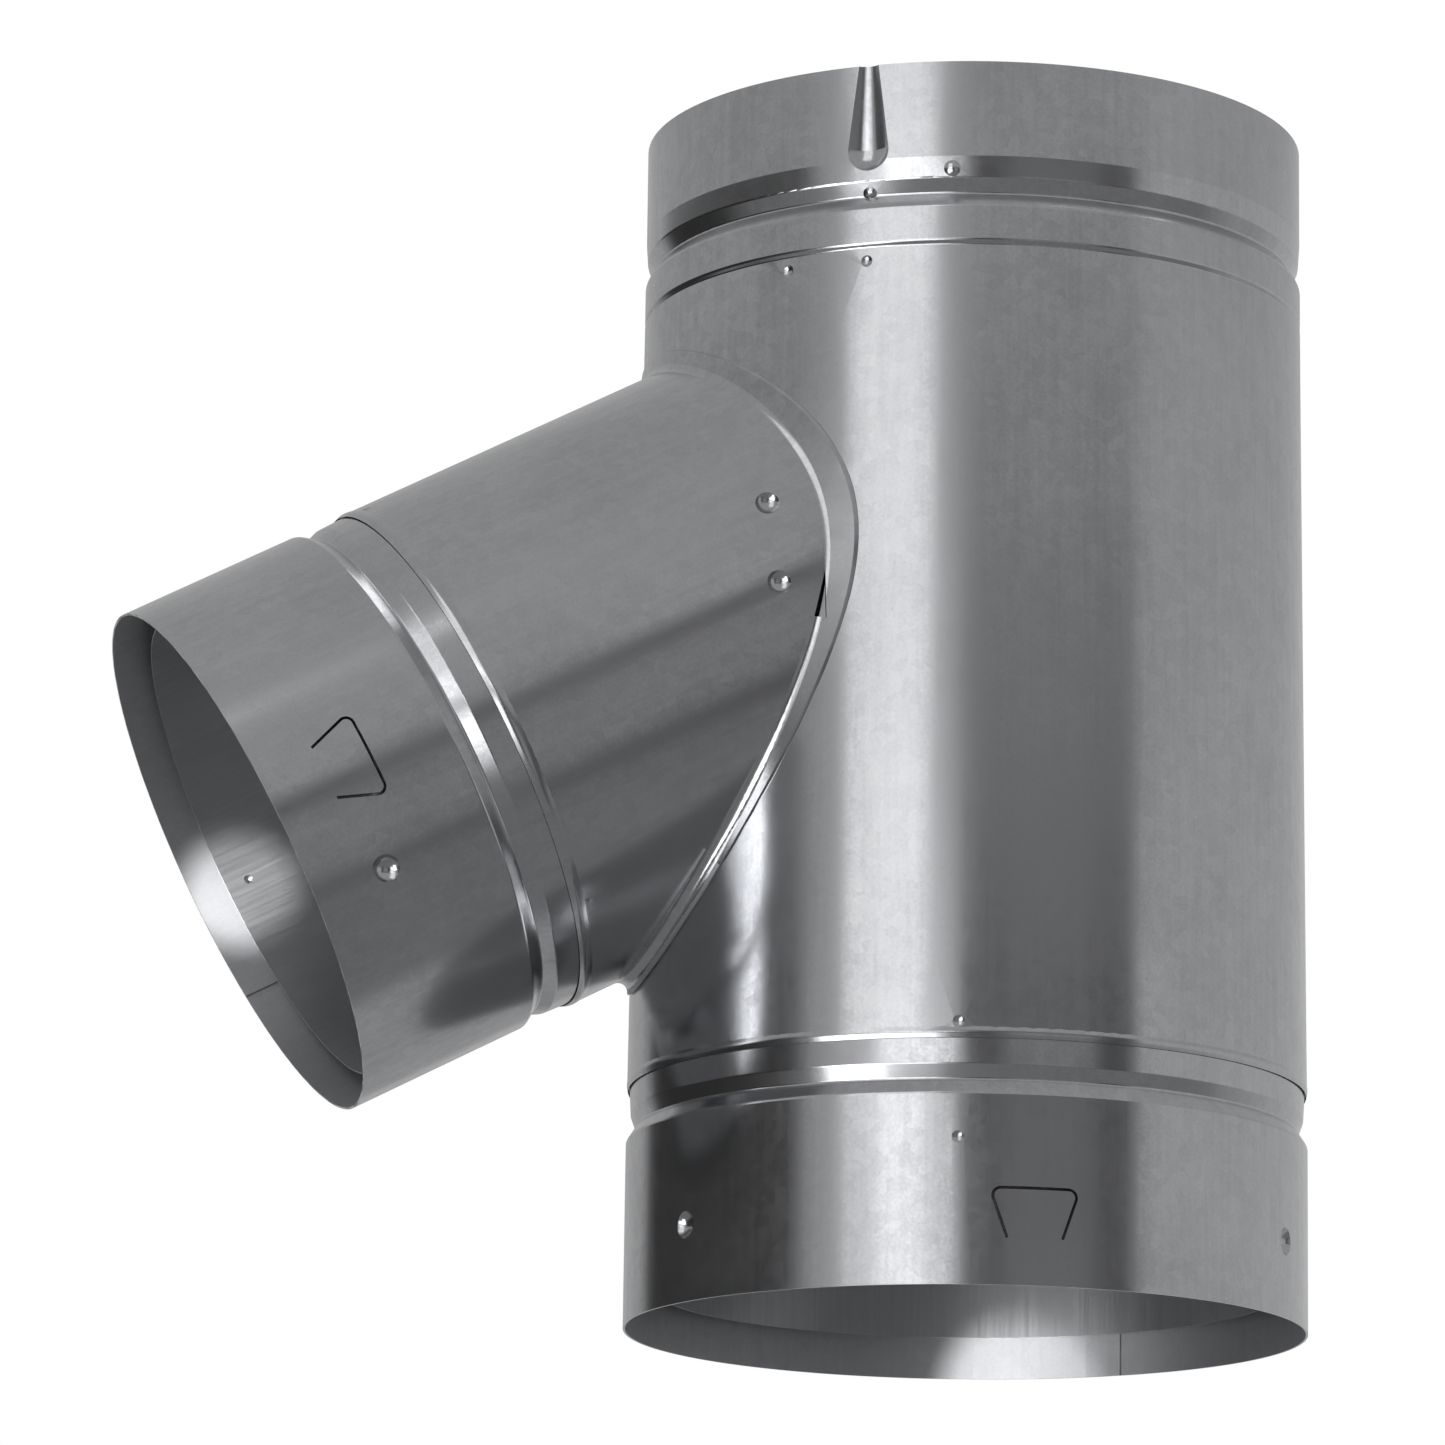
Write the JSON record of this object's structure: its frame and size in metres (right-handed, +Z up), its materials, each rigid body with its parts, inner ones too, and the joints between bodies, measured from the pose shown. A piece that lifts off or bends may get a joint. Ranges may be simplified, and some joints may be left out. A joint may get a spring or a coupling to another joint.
{
  "type": "gas vent wye",
  "caption": "Double-wall gas vent wye: a straight run with a socket below and a spigot above, and a smaller slanted branch with its own socket, all joined by twist locks.",
  "frame": {"origin": "centre of the run's bottom rim, on the plane that the fitting stands on", "axes": "+Z up the run's axis towards the spigot; the branch leaves towards -X and down; +Y is the far side in the picture"},
  "size_m": [0.2505, 0.141, 0.252],
  "materials": {
    "galvanised_shell": "galvanised, satin",
    "aluminium_liner": "mill",
    "spacer_clip": "galvanised, satin",
    "rivet": "mill"
  },
  "bodies": {
    "root": {"run_body": "galvanised_shell", "bottom_collar": "galvanised_shell", "top_collar": "galvanised_shell", "branch_body": "galvanised_shell", "branch_collar": "galvanised_shell", "saddle_stub": "galvanised_shell", "run_liner": "aluminium_liner", "branch_liner": "aluminium_liner", "liner_rivets": "rivet", "bottom_spacer_clip_1": "spacer_clip", "bottom_spacer_clip_2": "spacer_clip", "bottom_spacer_clip_3": "spacer_clip", "bottom_spacer_clip_4": "spacer_clip", "top_spacer_clip_1": "spacer_clip", "top_spacer_clip_2": "spacer_clip", "top_spacer_clip_3": "spacer_clip", "top_spacer_clip_4": "spacer_clip", "branch_spacer_clip_1": "spacer_clip", "branch_spacer_clip_2": "spacer_clip", "branch_spacer_clip_3": "spacer_clip", "branch_spacer_clip_4": "spacer_clip"}
  },
  "joints": []
}
